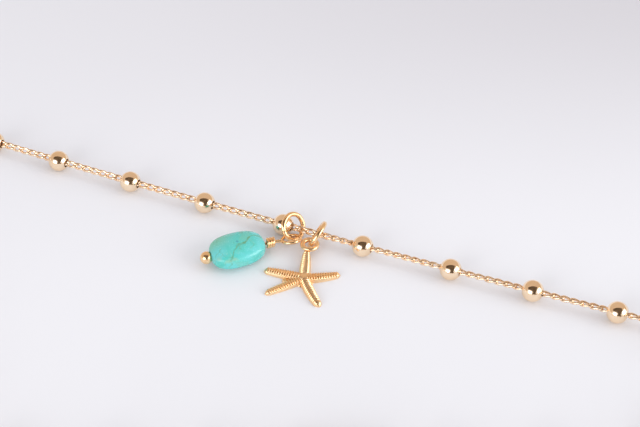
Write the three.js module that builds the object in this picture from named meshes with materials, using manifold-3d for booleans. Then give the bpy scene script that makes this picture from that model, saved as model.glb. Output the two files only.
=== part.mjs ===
// A charm bracelet: a fine curb chain with polished balls threaded along it, closed by a plain
// barrel clasp, and two charms on jump rings, a drilled oval stone on a headpin and a cast starfish.
// Millimetres, +Z up. The bracelet lies on the plane z = 0, under the middle of its own box.
import * as THREE from 'three';
import { mergeVertices } from 'three/addons/utils/BufferGeometryUtils.js';
import Module from 'manifold-3d';

const wasm = await Module();
wasm.setup();

// The chain and its balls.
const CHAIN_DIAMETER = 0.7;
const CHAIN_SIDES = 8;
const BALL_DIAMETER = 2.3;
const BALL_BORE = 0.95;
const BALL_PITCH = 9.2;
const BALL_SIDES = 12;
const BALL_ROWS = 8;
const HEIGHT_OF_CHAIN = BALL_DIAMETER / 2;

// The loop that the chain lies in, as corners that are rounded off. The first corner after the
// clasp comes first, and the shallow third one bows the long charm side.
const CLASP_PLACE = { x: 0, y: -34.2 };
const ROUTE_CORNERS = [
  { x: -34.5, y: -34.2, radius: 7 },
  { x: -47.6, y: 15.542, radius: 5 },
  { x: -3.942, y: -3.654, radius: 1210 },
  { x: 38.9, y: -19.492, radius: 5 },
  { x: 34.4, y: -34.2, radius: 7 },
];
const LOOP_MIDDLE = { x: -3.6576, y: -11.6076 };

// The ball beside the charms, and the uneven gaps from ball to ball on either side of it. The
// balls further round follow at the even pitch.
const CHARM_BALL = { x: -3.99, y: -3.05 };
const GAPS_TOWARDS_LEFT = [9.36, 9.17, 9.13, 8.48];
const GAPS_TOWARDS_RIGHT = [9.16, 9.81, 8.85, 8.87];

// The clasp, a turned barrel that the two ends of the chain run into.
const CLASP_LENGTH = 9;
const CLASP_DIAMETER = 2.3;
const CLASP_NOSE_DIAMETER = 1.5;
const CLASP_TAPER = 1.4;
const CLASP_GROOVE = 0.12;
const CLASP_SIDES = 16;
const CHAIN_IN_CLASP = 2.5;

// The jump rings.
const JUMP_RING_RADIUS = 1.38;
const JUMP_RING_WIRE = 0.54;
const RING_STEPS = 20;
const RING_WIRE_SIDES = 8;
const STONE_RING = { x: -2.862, y: -3.819, z: 1.5, normal: { x: 0.664, y: -0.552, z: 0.504 } };
const STAR_RING = { x: -0.289, y: -5.017, z: 1.51, normal: { x: 0.83, y: -0.325, z: -0.453 } };

// The stone, an oval tablet drilled along its length, and its headpin.
const STONE_LENGTH = 6.1;
const STONE_WIDTH = 4.4;
const STONE_THICKNESS = 2.6;
const STONE_BORE = 1.1;
const STONE_OUTLINE_POWER = 2.5;
const STONE_EDGE_POWER = 4;
const STONE_DOME = 0.32;
const STONE_SLANT = 0.08;
const STONE_SIDES = 28;
const STONE_ROWS = 10;
const STONE = { x: -8.74, y: -7.17, heading: 19.3 };
const PIN_HEIGHT = 1.2;
const PIN_WIRE = 0.34;
const PIN_CORE = 0.58;
const PIN_BALL_DIAMETER = 1.36;
const PIN_BALL_SEAT = 0.37;
const PIN_WRAP_TURNS = 2.5;
const PIN_WRAP_PITCH = 0.35;
const PIN_LOOP_RADIUS = 1.01;
const PIN_LOOP = { x: -3.075, y: -5.339, z: 1.12, normal: { x: -0.118, y: 0.334, z: 0.935 } };
const PIN_WIRE_SIDES = 6;

// The starfish. Each arm has its heading in degrees and its length, how far its tip bends aside,
// and its width and ridge height at the middle and at the tip. The top arm rises to the cast ring.
const STAR = { x: -1.7, y: -10.5 };
const STAR_ARMS = [
  { heading: 159, length: 4.45, bend: -0.2, width: [1.1, 0.78], height: [0.78, 0.5] },
  { heading: 207, length: 4.55, bend: -0.05, width: [0.95, 0.7], height: [0.66, 0.45] },
  { heading: 287, length: 4.25, bend: -0.4, width: [1.08, 0.85], height: [0.76, 0.52] },
  { heading: 7.5, length: 3.9, bend: -0.2, width: [1.08, 0.72], height: [0.78, 0.5] },
  { heading: 86, length: 3.75, bend: 0, width: [1.08, 0.85], height: [0.78, 1.15] },
];
const ARM_STEPS = 34;
const RIB_HEIGHT = 0.06;
const HUB_DIAMETER = 2.1;
const HUB_HEIGHT = 0.82;
const BAIL_RADIUS = 0.78;
const BAIL_WIRE = 0.5;
const BAIL = { x: -1.09, y: -6.027, z: 0.982 };

// Half of an arm's cross-section, from the ridge down to the middle of its flat back, as shares of
// the arm's half width and of its height.
const ARM_SECTION = [
  { across: 0, up: 1 },
  { across: 0.42, up: 0.95 },
  { across: 0.76, up: 0.76 },
  { across: 0.95, up: 0.36 },
  { across: 1, up: 0 },
  { across: 0, up: 0 },
];

const GOLD = { color: 0xe0b070, roughness: 0.16, metalness: 1 };
const CAST_GOLD = { color: 0xdca768, roughness: 0.26, metalness: 1 };
const CHAIN_GOLD = { color: 0xdfae72, roughness: 0.24, metalness: 1 };
const TURQUOISE = { color: 0x5fcabb, roughness: 0.35, metalness: 0 };

const bracelet = new THREE.Group();
bracelet.position.set(-LOOP_MIDDLE.x, -LOOP_MIDDLE.y, 0);

/** Adds one named piece to the bracelet. */
function addPiece(name, geometry, finish) {
  const mesh = new THREE.Mesh(geometry, new THREE.MeshStandardMaterial(finish));
  mesh.name = name;
  bracelet.add(mesh);
  return mesh;
}

/** Turns a closed three.js geometry into a solid, moved by a matrix. */
function solidOf(geometry, matrix = new THREE.Matrix4()) {
  const bare = geometry.clone().applyMatrix4(matrix);
  bare.deleteAttribute('normal');
  bare.deleteAttribute('uv');
  const welded = mergeVertices(bare, 1e-4);
  const vertProperties = new Float32Array(welded.attributes.position.array);
  const triVerts = new Uint32Array(welded.index.array);
  return new wasm.Manifold(new wasm.Mesh({ numProp: 3, vertProperties, triVerts }));
}

/** Turns a solid back into a three.js geometry. */
function geometryOf(solid) {
  const mesh = solid.getMesh();
  const geometry = new THREE.BufferGeometry();
  geometry.setAttribute('position', new THREE.BufferAttribute(new Float32Array(mesh.vertProperties), 3));
  geometry.setIndex(new THREE.BufferAttribute(new Uint32Array(mesh.triVerts), 1));
  geometry.computeVertexNormals();
  return geometry;
}

/** Joins several solids into one. */
function fuse(solids) {
  return solids.reduce((joined, solid) => joined.add(solid));
}

/** A matrix that takes the Y axis to a direction and the origin to a place. */
function alongY(direction, place) {
  const turn = new THREE.Quaternion().setFromUnitVectors(
    new THREE.Vector3(0, 1, 0), direction.clone().normalize());
  return new THREE.Matrix4().compose(place, turn, new THREE.Vector3(1, 1, 1));
}

/** A matrix that takes the Z axis to a direction and the origin to a place. */
function alongZ(direction, place) {
  const turn = new THREE.Quaternion().setFromUnitVectors(
    new THREE.Vector3(0, 0, 1), direction.clone().normalize());
  return new THREE.Matrix4().compose(place, turn, new THREE.Vector3(1, 1, 1));
}

/** A vector from a named place or direction. */
function vectorOf({ x, y, z }) {
  return new THREE.Vector3(x, y, z);
}

/** A unit vector in the plane of the table, from its heading in degrees. */
function headingVector(degrees) {
  const angle = THREE.MathUtils.degToRad(degrees);
  return new THREE.Vector3(Math.cos(angle), Math.sin(angle), 0);
}

/** A regular polygon as a shape, for the section of a wire or a chain. */
function polygon(diameter, sides) {
  const points = [];
  for (let i = 0; i < sides; i += 1) {
    const angle = (i / sides) * Math.PI * 2;
    points.push(new THREE.Vector2(Math.cos(angle), Math.sin(angle)).multiplyScalar(diameter / 2));
  }
  return new THREE.Shape(points);
}

/** The closed loop that the chain follows, as straight runs and arcs that start at the clasp. */
function loopRoute() {
  const route = new THREE.Path();
  route.moveTo(CLASP_PLACE.x, CLASP_PLACE.y);
  const count = ROUTE_CORNERS.length;
  ROUTE_CORNERS.forEach((corner, i) => {
    const before = i === 0 ? CLASP_PLACE : ROUTE_CORNERS[i - 1];
    const after = i === count - 1 ? CLASP_PLACE : ROUTE_CORNERS[i + 1];
    const here = new THREE.Vector2(corner.x, corner.y);
    const back = new THREE.Vector2(before.x, before.y).sub(here).normalize();
    const ahead = new THREE.Vector2(after.x, after.y).sub(here).normalize();
    const halfAngle = Math.acos(back.dot(ahead)) / 2;
    const cut = corner.radius / Math.tan(halfAngle);
    const start = here.clone().addScaledVector(back, cut);
    const inward = back.clone().add(ahead).normalize();
    const centre = here.clone().addScaledVector(inward, corner.radius / Math.sin(halfAngle));
    const end = here.clone().addScaledVector(ahead, cut);
    const clockwise = back.cross(ahead) > 0;
    const angleOf = (point) => Math.atan2(point.y - centre.y, point.x - centre.x);
    route.lineTo(start.x, start.y);
    route.absarc(centre.x, centre.y, corner.radius, angleOf(start), angleOf(end), clockwise);
  });
  route.lineTo(CLASP_PLACE.x, CLASP_PLACE.y);
  return route;
}

const route = loopRoute();
const routeLength = route.getLength();

/** A place on the route at chain height, a distance in millimetres from the clasp's middle. */
function placeOnRoute(distance) {
  const point = route.getPointAt(distance / routeLength);
  return new THREE.Vector3(point.x, point.y, HEIGHT_OF_CHAIN);
}

/** How far along the route the point nearest to a place is. */
function distanceAlongRoute(place) {
  const target = new THREE.Vector3(place.x, place.y, HEIGHT_OF_CHAIN);
  let best = 0;
  for (let distance = 0; distance < routeLength; distance += 0.05) {
    if (placeOnRoute(distance).distanceTo(target) < placeOnRoute(best).distanceTo(target)) {
      best = distance;
    }
  }
  return best;
}

/** Where each ball sits along the route, from the clasp's left end round to its right end. */
function ballDistances() {
  const margin = CLASP_LENGTH / 2 + BALL_DIAMETER;
  const charmBall = distanceAlongRoute(CHARM_BALL);
  const distances = [charmBall];
  let towardsStart = charmBall;
  for (let i = 0; ; i += 1) {
    towardsStart -= GAPS_TOWARDS_LEFT[i] ?? BALL_PITCH;
    if (towardsStart < margin) break;
    distances.unshift(towardsStart);
  }
  let towardsEnd = charmBall;
  for (let i = 0; ; i += 1) {
    towardsEnd += GAPS_TOWARDS_RIGHT[i] ?? BALL_PITCH;
    if (towardsEnd > routeLength - margin) break;
    distances.push(towardsEnd);
  }
  return distances;
}

/** A curve through given stations, one station for each step of an extrusion. */
class StationCurve extends THREE.Curve {
  constructor(stations) {
    super();
    this.stations = stations;
  }

  getPointAt(share, target = new THREE.Vector3()) {
    const index = Math.round(share * (this.stations.length - 1));
    return target.copy(this.stations[index]);
  }

  getTangentAt(share, target = new THREE.Vector3()) {
    const last = this.stations.length - 1;
    const index = Math.round(share * last);
    const before = this.stations[Math.max(index - 1, 0)];
    const after = this.stations[Math.min(index + 1, last)];
    return target.subVectors(after, before).normalize();
  }
}

/** A tube of a given section through stations. */
function tubeGeometry(stations, diameter, sides) {
  return new THREE.ExtrudeGeometry(polygon(diameter, sides), {
    steps: stations.length - 1,
    extrudePath: new StationCurve(stations),
    bevelEnabled: false,
  });
}

/** The stations of the chain: it runs straight through each ball and follows the route between. */
function chainStations(distances) {
  const halfBall = BALL_DIAMETER / 2 + 0.1;
  const first = CLASP_LENGTH / 2 - CHAIN_IN_CLASP;
  const stops = [first, CLASP_LENGTH / 2 + 0.1];
  distances.forEach((distance) => {
    const previous = stops[stops.length - 1];
    const open = distance - halfBall - previous;
    const between = Math.max(1, Math.round(open / (CHAIN_DIAMETER * 3.4)));
    for (let i = 1; i < between; i += 1) {
      stops.push(previous + (open * i) / between);
    }
    stops.push(distance - halfBall, distance + halfBall);
  });
  stops.push(routeLength - CLASP_LENGTH / 2 - 0.1, routeLength - first);
  return stops.map(placeOnRoute);
}

/** A turned piece with a bore along its axis, from its outer profile of radius and place. */
function boredLathe(outer, boreDiameter, sides) {
  const profile = outer.map((row) => new THREE.Vector2(row.radius, row.along));
  const low = profile[0].y;
  const high = profile[profile.length - 1].y;
  profile.push(new THREE.Vector2(boreDiameter / 2, high));
  profile.push(new THREE.Vector2(boreDiameter / 2, low));
  profile.push(profile[0].clone());
  return new THREE.LatheGeometry(profile, sides);
}

/** A polished ball with a bore for the chain. */
function ballGeometry() {
  const radius = BALL_DIAMETER / 2;
  const rim = Math.asin((BALL_BORE / 2 + 0.06) / radius);
  const outer = [];
  for (let i = 0; i <= BALL_ROWS; i += 1) {
    const angle = rim + ((Math.PI - 2 * rim) * i) / BALL_ROWS;
    outer.push({ radius: radius * Math.sin(angle), along: -radius * Math.cos(angle) });
  }
  return boredLathe(outer, BALL_BORE, BALL_SIDES);
}

/** The barrel clasp: a cylinder with tapered noses and a shallow groove where it unscrews. */
function claspGeometry() {
  const radius = CLASP_DIAMETER / 2;
  const half = CLASP_LENGTH / 2;
  const outer = [
    { radius: CLASP_NOSE_DIAMETER / 2, along: -half },
    { radius: radius * 0.9, along: -half + CLASP_TAPER * 0.6 },
    { radius, along: -half + CLASP_TAPER },
    { radius, along: -CLASP_GROOVE },
    { radius: radius - CLASP_GROOVE, along: 0 },
    { radius, along: CLASP_GROOVE },
    { radius, along: half - CLASP_TAPER },
    { radius: radius * 0.9, along: half - CLASP_TAPER * 0.6 },
    { radius: CLASP_NOSE_DIAMETER / 2, along: half },
  ];
  return boredLathe(outer, BALL_BORE, CLASP_SIDES);
}

/** A jump ring with its joint soldered shut. */
function jumpRingGeometry() {
  return new THREE.TorusGeometry(
    JUMP_RING_RADIUS, JUMP_RING_WIRE / 2, RING_WIRE_SIDES, RING_STEPS);
}

/** The oval stone, with its length along X and its bore a little below its middle. */
function stoneGeometry() {
  const profile = [];
  for (let i = 0; i <= STONE_ROWS; i += 1) {
    const angle = -Math.PI / 2 + (Math.PI * i) / STONE_ROWS;
    const out = i === 0 || i === STONE_ROWS ? 0 : Math.cos(angle) ** (2 / STONE_EDGE_POWER);
    const up = Math.sign(Math.sin(angle)) * Math.abs(Math.sin(angle)) ** (2 / STONE_EDGE_POWER);
    profile.push(new THREE.Vector2(out, up * (1 - STONE_DOME * out ** 2) * STONE_THICKNESS / 2));
  }
  const tablet = new THREE.LatheGeometry(profile, STONE_SIDES);
  tablet.rotateX(Math.PI / 2);
  const position = tablet.attributes.position;
  for (let i = 0; i < position.count; i += 1) {
    const x = position.getX(i);
    const y = position.getY(i);
    const out = Math.hypot(x, y);
    const shareX = out > 0 ? Math.abs(x / out) : 0;
    const shareY = out > 0 ? Math.abs(y / out) : 0;
    const power = STONE_OUTLINE_POWER;
    const fuller = out > 0 ? (shareX ** power + shareY ** power) ** (-1 / power) : 0;
    const along = (x * fuller * STONE_LENGTH) / 2;
    const slant = y < 0 ? STONE_SLANT * along * Math.abs(y * fuller) : 0;
    position.setX(i, along);
    position.setY(i, (y * fuller * STONE_WIDTH) / 2 + slant);
  }
  const drill = new THREE.CylinderGeometry(STONE_BORE / 2, STONE_BORE / 2, STONE_LENGTH * 2, 12);
  const bore = new THREE.Vector3(0, 0, PIN_HEIGHT - STONE_THICKNESS / 2);
  const along = alongY(new THREE.Vector3(1, 0, 0), bore);
  return geometryOf(solidOf(tablet).subtract(solidOf(drill, along)));
}

/** The headpin: an end ball, the wire through the stone, the wrapped coil, the neck and the loop. */
function headpinGeometry() {
  const axis = headingVector(STONE.heading);
  const middle = new THREE.Vector3(STONE.x, STONE.y, PIN_HEIGHT);
  const onAxis = (along) => middle.clone().addScaledVector(axis, along);
  const half = STONE_LENGTH / 2;
  const ballPlace = -half - PIN_BALL_SEAT;
  const wrapStart = half + 0.03;
  const wrapEnd = wrapStart + PIN_WIRE + PIN_WRAP_TURNS * PIN_WRAP_PITCH;
  const ball = new THREE.SphereGeometry(PIN_BALL_DIAMETER / 2, 14, 9);
  const wire = new THREE.CylinderGeometry(
    PIN_WIRE / 2, PIN_WIRE / 2, wrapEnd - ballPlace, PIN_WIRE_SIDES);
  const core = new THREE.CylinderGeometry(
    PIN_CORE / 2, PIN_CORE / 2, wrapEnd - wrapStart - PIN_WIRE / 2, 10);
  const wrapStations = [];
  const stepsPerTurn = 10;
  const wrapRadius = (PIN_CORE + PIN_WIRE) / 2 - 0.02;
  for (let i = 0; i <= PIN_WRAP_TURNS * stepsPerTurn; i += 1) {
    const turn = (i / stepsPerTurn) * Math.PI * 2;
    wrapStations.push(new THREE.Vector3(
      wrapRadius * Math.cos(turn), (PIN_WRAP_PITCH * i) / stepsPerTurn, wrapRadius * Math.sin(turn)));
  }
  const wrap = tubeGeometry(wrapStations, PIN_WIRE, PIN_WIRE_SIDES);
  const loop = new THREE.TorusGeometry(PIN_LOOP_RADIUS, PIN_WIRE / 2, PIN_WIRE_SIDES, RING_STEPS);
  const loopMiddle = vectorOf(PIN_LOOP);
  const loopNormal = vectorOf(PIN_LOOP.normal).normalize();
  const neckStart = onAxis(wrapEnd - PIN_WIRE);
  const neckEnd = neckStart.clone().sub(loopMiddle);
  neckEnd.addScaledVector(loopNormal, -neckEnd.dot(loopNormal)).setLength(PIN_LOOP_RADIUS);
  neckEnd.add(loopMiddle);
  const neckMiddle = neckStart.clone().lerp(neckEnd, 0.5);
  const neck = tubeGeometry([neckStart, neckMiddle, neckEnd], PIN_WIRE, PIN_WIRE_SIDES);
  return geometryOf(fuse([
    solidOf(ball, alongY(axis, onAxis(ballPlace))),
    solidOf(wire, alongY(axis, onAxis((wrapEnd + ballPlace) / 2))),
    solidOf(core, alongY(axis, onAxis((wrapStart + wrapEnd) / 2))),
    solidOf(wrap, alongY(axis, onAxis(wrapStart + PIN_WIRE / 2))),
    solidOf(neck),
    solidOf(loop, alongZ(loopNormal, loopMiddle)),
  ]));
}

/** One arm of the starfish, along its heading from the middle, ribbed across its ridge. */
function armSolid(arm) {
  const rows = ARM_SECTION.length - 1;
  const sides = rows * 2;
  const tube = new THREE.CylinderGeometry(1, 1, 1, sides, ARM_STEPS);
  const position = tube.attributes.position;
  for (let i = 0; i < position.count; i += 1) {
    const side = position.getX(i);
    const front = position.getZ(i);
    const share = position.getY(i) + 0.5;
    const onAxis = Math.hypot(side, front) < 0.5;
    const corner = Math.round((Math.atan2(side, front) / Math.PI) * rows);
    const section = ARM_SECTION[Math.abs(corner)];
    const rounding = Math.sqrt(1 - THREE.MathUtils.smoothstep(share, 0.86, 1.02) ** 2);
    const width = THREE.MathUtils.lerp(...arm.width, share ** 1.6) * rounding;
    const height = THREE.MathUtils.lerp(...arm.height, share) * rounding;
    const rib = Math.round(share * ARM_STEPS) % 2 === 0 && share < 0.9 ? RIB_HEIGHT : 0;
    const across = onAxis ? 0 : (Math.sign(corner) * section.across * width) / 2;
    const up = onAxis ? height / 2 : section.up * (height + rib);
    position.setXYZ(i, across + arm.bend * share ** 2, arm.length * share, up);
  }
  const turn = new THREE.Matrix4().makeRotationZ(THREE.MathUtils.degToRad(arm.heading - 90));
  return solidOf(tube, turn);
}

/** The starfish: five ribbed arms on a low hub, with a cast ring at the end of its top arm. */
function starfishGeometry() {
  const hub = new THREE.CylinderGeometry(
    HUB_DIAMETER * 0.22, HUB_DIAMETER / 2, HUB_HEIGHT, 15);
  const hubPlace = new THREE.Vector3(0, 0, HUB_HEIGHT / 2);
  const bail = new THREE.TorusGeometry(BAIL_RADIUS, BAIL_WIRE / 2, 8, 16);
  const bailPlace = new THREE.Matrix4().makeTranslation(
    BAIL.x - STAR.x, BAIL.y - STAR.y, BAIL.z);
  return geometryOf(fuse([
    ...STAR_ARMS.map(armSolid),
    solidOf(hub, alongY(new THREE.Vector3(0, 0, 1), hubPlace)),
    solidOf(bail, bailPlace),
  ]));
}

const distances = ballDistances();
addPiece('chain', tubeGeometry(chainStations(distances), CHAIN_DIAMETER, CHAIN_SIDES), CHAIN_GOLD);

distances.forEach((distance, i) => {
  const before = placeOnRoute(distance - BALL_DIAMETER / 2);
  const after = placeOnRoute(distance + BALL_DIAMETER / 2);
  const ball = addPiece(`ball_${String(i + 1).padStart(2, '0')}`, ballGeometry(), GOLD);
  ball.position.addVectors(before, after).multiplyScalar(0.5);
  ball.rotation.z = Math.atan2(after.y - before.y, after.x - before.x) - Math.PI / 2;
});

const clasp = addPiece('clasp', claspGeometry(), GOLD);
clasp.position.set(CLASP_PLACE.x, CLASP_PLACE.y, CLASP_DIAMETER / 2);
clasp.rotation.z = Math.PI / 2;

const stone = addPiece('stone', stoneGeometry(), TURQUOISE);
stone.position.set(STONE.x, STONE.y, STONE_THICKNESS / 2);
stone.rotation.z = THREE.MathUtils.degToRad(STONE.heading);
addPiece('headpin', headpinGeometry(), GOLD);

const zAxis = new THREE.Vector3(0, 0, 1);
[['stone_jump_ring', STONE_RING], ['starfish_jump_ring', STAR_RING]].forEach(([name, lie]) => {
  const ring = addPiece(name, jumpRingGeometry(), GOLD);
  ring.position.copy(vectorOf(lie));
  ring.quaternion.setFromUnitVectors(zAxis, vectorOf(lie.normal).normalize());
});

const starfish = addPiece('starfish', starfishGeometry(), CAST_GOLD);
starfish.position.set(STAR.x, STAR.y, 0);

export default bracelet;
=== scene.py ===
"""A beaded chain bracelet with a drilled stone and a cast starfish, dressed for its picture.

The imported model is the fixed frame. Every piece made here stands for one of its nodes. Sizes in
the pieces' classes are millimetres in the frame's own axes, and meshes are made in metres. The
studio's sizes are metres, apart from those of its camera.
"""
import logging
import math
import random
from collections.abc import Callable
from dataclasses import dataclass, field
from enum import Enum

import bmesh
import bpy
from mathutils import Matrix, Vector, noise


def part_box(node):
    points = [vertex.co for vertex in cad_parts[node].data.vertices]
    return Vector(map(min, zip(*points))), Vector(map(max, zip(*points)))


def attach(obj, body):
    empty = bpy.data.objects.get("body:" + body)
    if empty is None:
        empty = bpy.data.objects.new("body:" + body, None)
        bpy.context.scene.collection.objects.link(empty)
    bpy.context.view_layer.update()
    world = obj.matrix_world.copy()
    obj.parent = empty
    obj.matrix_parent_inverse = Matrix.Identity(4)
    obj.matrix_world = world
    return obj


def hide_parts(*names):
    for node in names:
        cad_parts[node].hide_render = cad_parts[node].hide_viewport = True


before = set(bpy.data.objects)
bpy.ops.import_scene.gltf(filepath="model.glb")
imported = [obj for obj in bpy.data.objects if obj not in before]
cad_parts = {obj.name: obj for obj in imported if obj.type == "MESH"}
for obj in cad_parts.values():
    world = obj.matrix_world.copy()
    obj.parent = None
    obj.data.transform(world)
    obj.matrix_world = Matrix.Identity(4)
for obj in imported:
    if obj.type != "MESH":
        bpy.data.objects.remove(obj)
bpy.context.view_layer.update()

log = logging.getLogger("bracelet")

Socket = bpy.types.NodeSocket
Colour = tuple[float, float, float]
Span = tuple[float, float]

MM = 0.001
BODY = "root"
UP = Vector((0.0, 0.0, 1.0))
LAYOUT_ORIGIN = Vector((3.6576, 11.6076, 0.0))
CHAIN_HEIGHT = 1.15
CHAIN_BORE = 0.95
CLASP_LENGTH = 9.0
BALL_DIAMETER = 2.3


class Slot(Enum):
    """The material slots, by name."""

    CHAIN = "chain_gold"
    BALL = "ball_gold"
    FITTING = "fitting_gold"
    CAST = "cast_gold"
    STONE = "turquoise"


class Ends(Enum):
    """How a run of rings is finished where it starts and stops."""

    CAPPED = "capped"
    JOINED = "joined"


class Merge(Enum):
    """How one solid is put to another, by Blender's name for it."""

    FUSED = "UNION"
    CUT = "DIFFERENCE"


def smoothstep(value: float, low: float, high: float) -> float:
    """Eases from 0 at low to 1 at high.

    Args:
        value: The number to ease.
        low: Where the result is still 0.
        high: Where the result has become 1.

    Returns:
        A number from 0 to 1.
    """
    share = min(max((value - low) / (high - low), 0.0), 1.0)
    return share * share * (3 - 2 * share)


def mix(first: float, second: float, share: float) -> float:
    """Returns the number that lies share of the way from first to second."""
    return first + (second - first) * share


def signed_power(value: float, power: float) -> float:
    """Returns the power of a number's size, with the number's own sign."""
    return math.copysign(abs(value) ** power, value)


def superellipse_reach(angle: float, power: float) -> float:
    """Returns how far a unit superellipse of a power reaches at an angle."""
    return (abs(math.cos(angle)) ** power + abs(math.sin(angle)) ** power) ** (-1 / power)


def laid(x: float, y: float, z: float = 0.0) -> Vector:
    """Returns a place that is measured from the point under the picture's middle."""
    return Vector((x, y, z)) + LAYOUT_ORIGIN


def heading_vector(degrees: float) -> Vector:
    """Returns the level unit vector at a heading."""
    angle = math.radians(degrees)
    return Vector((math.cos(angle), math.sin(angle), 0.0))


def level_circle(centre: Vector, radius: float, steps: int) -> list[Vector]:
    """Returns points evenly round a level circle."""
    return [centre + heading_vector(360 * i / steps) * radius for i in range(steps)]


def turn_to(axis: Vector) -> Matrix:
    """Returns the rotation that takes the Z axis to another axis."""
    return UP.rotation_difference(axis.normalized()).to_matrix().to_4x4()


class Shell:
    """Closed surfaces in millimetres, collected into one mesh object."""

    def __init__(self) -> None:
        """Starts with no surface."""
        self.points: list[Vector] = []
        self.faces: list[tuple[int, ...]] = []

    def add_rings(self, rings: list[list[Vector]], ends: Ends) -> None:
        """Adds a surface that runs through rings of points.

        Args:
            rings: Rings with the same number of points, in order.
            ends: Whether the first and last ring are capped or joined to each other.
        """
        start = len(self.points)
        sides = len(rings[0])
        for ring in rings:
            self.points.extend(ring)
        last = len(rings) if ends is Ends.JOINED else len(rings) - 1
        for row in range(last):
            here = start + row * sides
            there = start + ((row + 1) % len(rings)) * sides
            for i in range(sides):
                j = (i + 1) % sides
                self.faces.append((here + i, here + j, there + j, there + i))
        if ends is Ends.CAPPED:
            self.faces.append(tuple(start + i for i in reversed(range(sides))))
            self.faces.append(tuple(start + (len(rings) - 1) * sides + i for i in range(sides)))

    def add_lathe(self, profile: list[Span], sides: int, place: Matrix) -> None:
        """Adds a turned body with a bore, from a closed profile.

        Args:
            profile: Radius and place along the axis of each corner, in order round the section.
            sides: The number of steps round the axis.
            place: Where the body's Z axis goes.
        """
        rings = []
        for i in range(sides):
            out = heading_vector(360 * i / sides)
            rings.append([place @ (out * radius + UP * along) for radius, along in profile])
        self.add_rings(rings, Ends.JOINED)

    def add_ball(self, radius: float, centre: Vector, axis: Vector, sides: int) -> None:
        """Adds a ball with its poles on an axis.

        Args:
            radius: The ball's radius.
            centre: The ball's centre.
            axis: The direction of its poles.
            sides: The number of steps round the axis.
        """
        turn = turn_to(axis)
        rows = sides // 2
        rings = []
        for row in range(1, rows):
            angle = math.pi * row / rows
            level = UP * (-math.cos(angle) * radius)
            circle = level_circle(level, math.sin(angle) * radius, sides)
            rings.append([centre + turn @ spot for spot in circle])
        self.add_rings(rings, Ends.CAPPED)

    def add_wire(
        self,
        path: list[Vector],
        radius: Callable[[float], float],
        sides: int,
        ends: Ends = Ends.CAPPED,
        centre: Vector | None = None,
    ) -> None:
        """Adds a round wire along a path.

        Args:
            path: Points along the middle of the wire.
            radius: Gives the wire's radius at a share of the path.
            sides: The number of sides of the wire.
            ends: Whether the wire is capped or joined to its own start.
            centre: For a loop, the point that its sections are turned away from.
        """
        count = len(path)
        rings = []
        across = Vector((0.0, 0.0, 0.0))
        for i, point in enumerate(path):
            if ends is Ends.JOINED:
                along = (path[(i + 1) % count] - path[i - 1]).normalized()
            else:
                along = (path[min(i + 1, count - 1)] - path[max(i - 1, 0)]).normalized()
            if centre is not None:
                across = point - centre
            elif i == 0:
                across = along.orthogonal()
            across = (across - along * across.dot(along)).normalized()
            other = along.cross(across)
            size = radius(i / max(count - 1, 1))
            angles = (math.tau * side / sides for side in range(sides))
            rings.append([
                point + (across * math.cos(angle) + other * math.sin(angle)) * size
                for angle in angles
            ])
        self.add_rings(rings, ends)

    def to_object(self, name: str, crease: float = 40.0) -> bpy.types.Object:
        """Makes the mesh object, with its faces turned outwards.

        Args:
            name: The piece's name.
            crease: Edges that turn by more degrees than this stay sharp.

        Returns:
            The object, in metres, linked to the scene.
        """
        mesh = bpy.data.meshes.new(name)
        mesh.from_pydata([point * MM for point in self.points], [], self.faces)
        built = bmesh.new()
        built.from_mesh(mesh)
        bmesh.ops.recalc_face_normals(built, faces=built.faces)
        built.to_mesh(mesh)
        built.free()
        mesh.shade_smooth()
        mesh.set_sharp_from_angle(angle=math.radians(crease))
        piece = bpy.data.objects.new(name, mesh)
        bpy.context.scene.collection.objects.link(piece)
        return piece


def combine(
    base: bpy.types.Object, others: list[bpy.types.Object], merge: Merge, crease: float
) -> bpy.types.Object:
    """Joins solids to a solid, or cuts them from it, and removes them.

    Args:
        base: The solid that stays.
        others: The solids that are used up.
        merge: Whether they are fused to it or cut from it.
        crease: Edges that turn by more degrees than this stay sharp.

    Returns:
        The solid that stays, with its new mesh.
    """
    for other in others:
        tool = base.modifiers.new(other.name, "BOOLEAN")
        tool.operation = merge.value
        tool.solver = "MANIFOLD"
        tool.object = other
    graph = bpy.context.evaluated_depsgraph_get()
    made = bpy.data.meshes.new_from_object(base.evaluated_get(graph))
    base.modifiers.clear()
    base.data = made
    for other in others:
        bpy.data.objects.remove(other)
    made.shade_smooth()
    made.set_sharp_from_angle(angle=math.radians(crease))
    return base


@dataclass(frozen=True)
class Mottle:
    """Cloudy noise with patches of a size in millimetres, of which one range is kept."""

    size: float
    detail: float
    swirl: float
    kept: Span


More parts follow.
